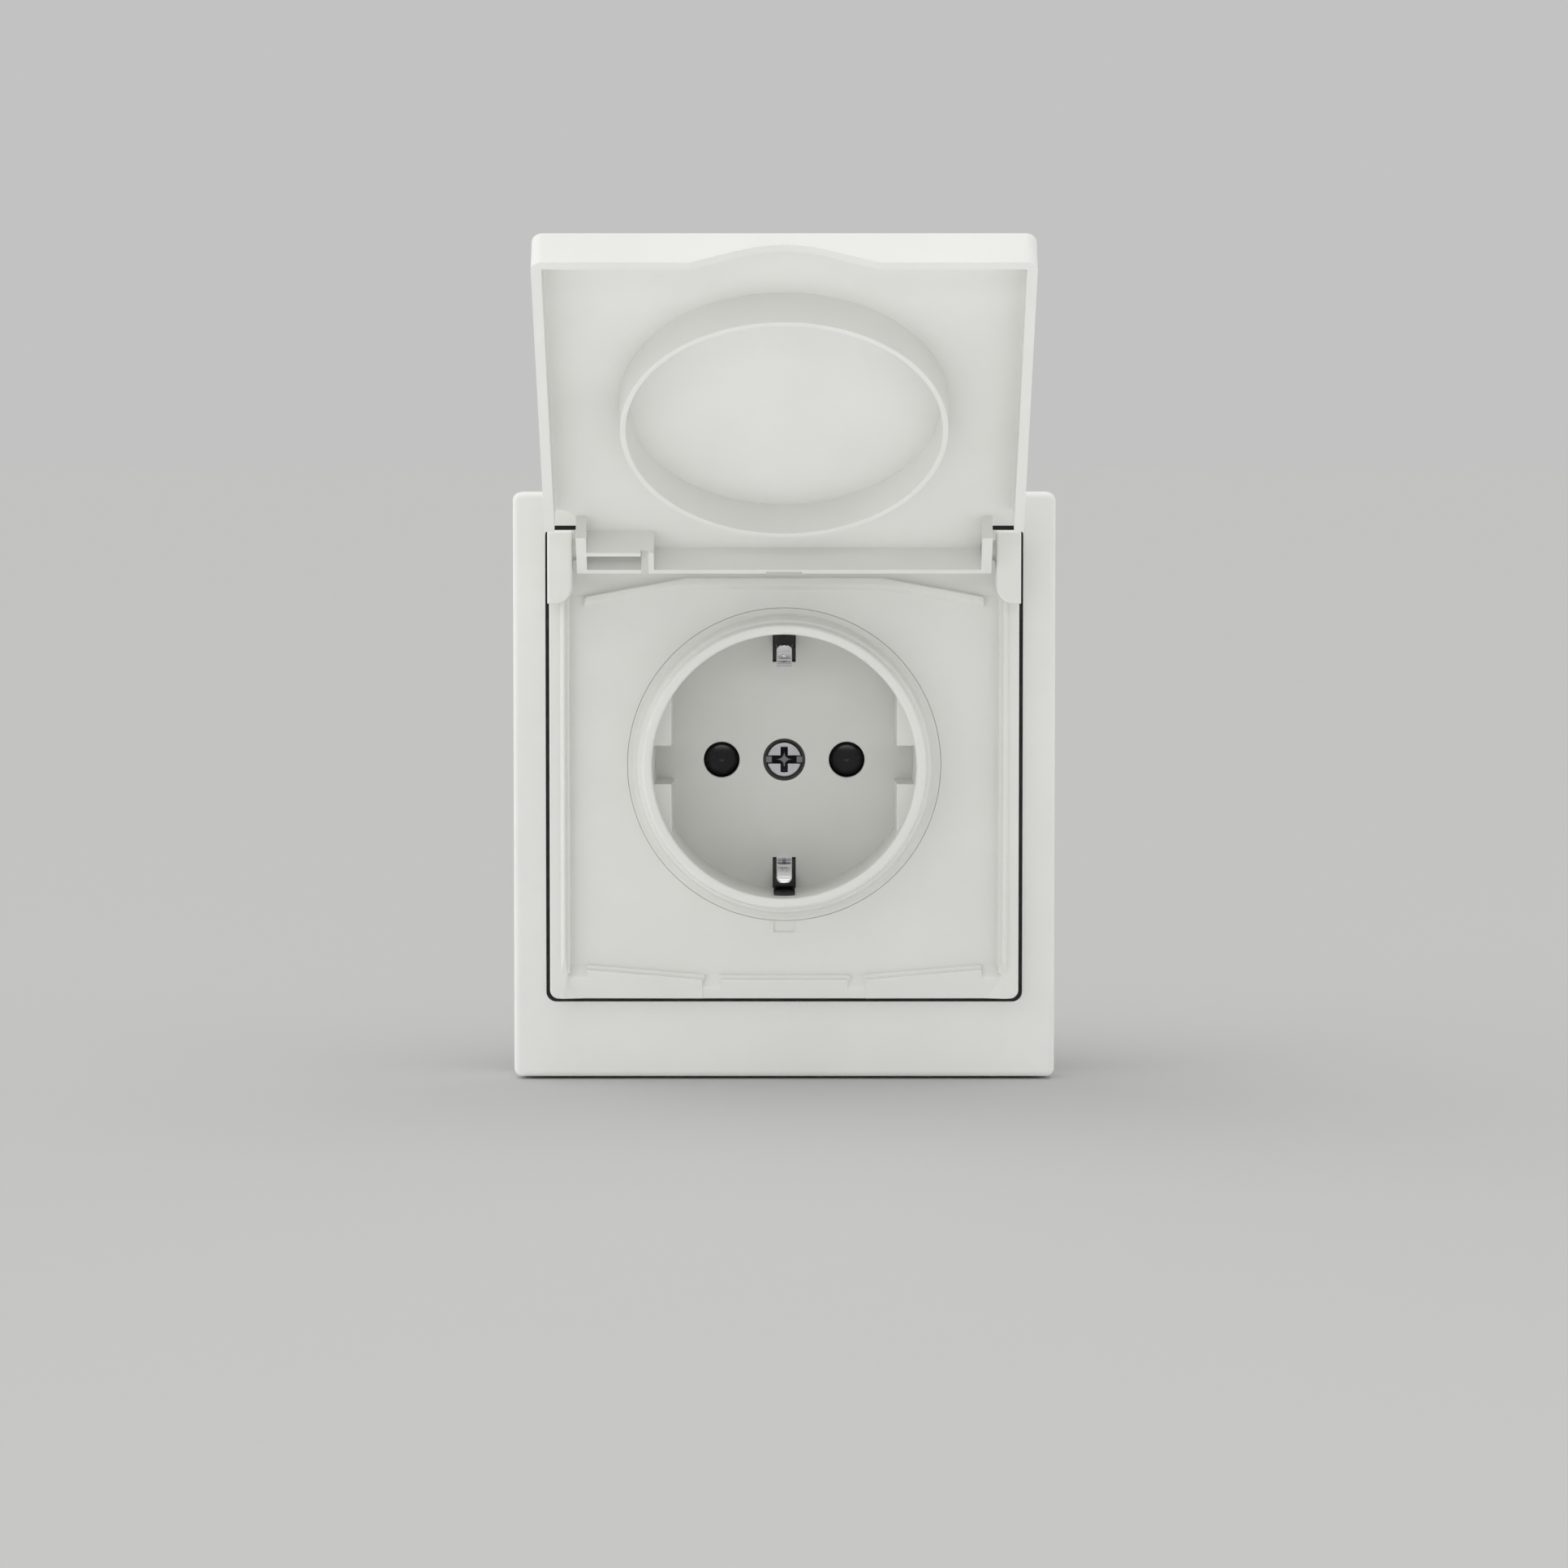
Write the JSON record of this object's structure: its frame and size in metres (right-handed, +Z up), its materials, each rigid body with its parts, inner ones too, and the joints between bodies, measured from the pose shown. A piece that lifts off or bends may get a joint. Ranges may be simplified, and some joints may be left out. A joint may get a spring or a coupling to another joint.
{
  "type": "outdoor weatherproof socket",
  "caption": "Flush-mounted outdoor earthed socket with a square frame, a deep round cup and a hinged splash lid that stands open.",
  "frame": {"origin": "middle of the box screw pattern and of the round cup, on the wall plane", "axes": "+X right and +Z up as seen from the front, +Y into the wall"},
  "size_m": [0.0812, 0.092, 0.1246],
  "materials": {
    "white_plastic": "smooth satin",
    "base_plastic": "fine matt",
    "black_plastic": "polished",
    "seal_rubber": "matt",
    "plated_steel": "bright plated",
    "spring_steel": "drawn wire",
    "contact_brass": "stamped"
  },
  "bodies": {
    "socket": {"frame": "white_plastic", "cover_plate": "white_plastic", "socket_cup": "white_plastic", "hinge_pin_left": "white_plastic", "hinge_pin_right": "white_plastic", "wall_seal": "seal_rubber", "insert_seal": "seal_rubber", "screw_seal": "seal_rubber", "shutter_spring": "spring_steel", "centre_screw": "plated_steel", "earth_strap": "plated_steel", "support_ring": "plated_steel", "ring_rivets": "plated_steel", "cover_rivets": "plated_steel", "base_body": "base_plastic", "base_cover": "base_plastic", "contact_left": "contact_brass", "contact_right": "contact_brass", "terminal_clamp_line": "contact_brass", "terminal_clamp_neutral": "contact_brass", "terminal_clamp_earth": "contact_brass", "terminal_screw_line": "plated_steel", "terminal_screw_neutral": "plated_steel", "terminal_screw_earth": "plated_steel"},
    "lid": {"lid": "white_plastic"},
    "shutter": {"shutter": "black_plastic"}
  },
  "joints": [
    {"name": "lid_hinge", "type": "hinge", "parent": "socket", "child": "lid", "pos_m": [0, -0.0163, 0.0322], "axis": [1, 0, 0], "range_deg": [0, 130.9]},
    {"name": "shutter_turn", "type": "hinge", "parent": "socket", "child": "shutter", "pos_m": [0, 0.005, 0], "axis": [0, 1, 0], "range_deg": [0, 40], "stiffness_Nm_per_rad": 0.003, "springref_deg": -20.05}
  ]
}
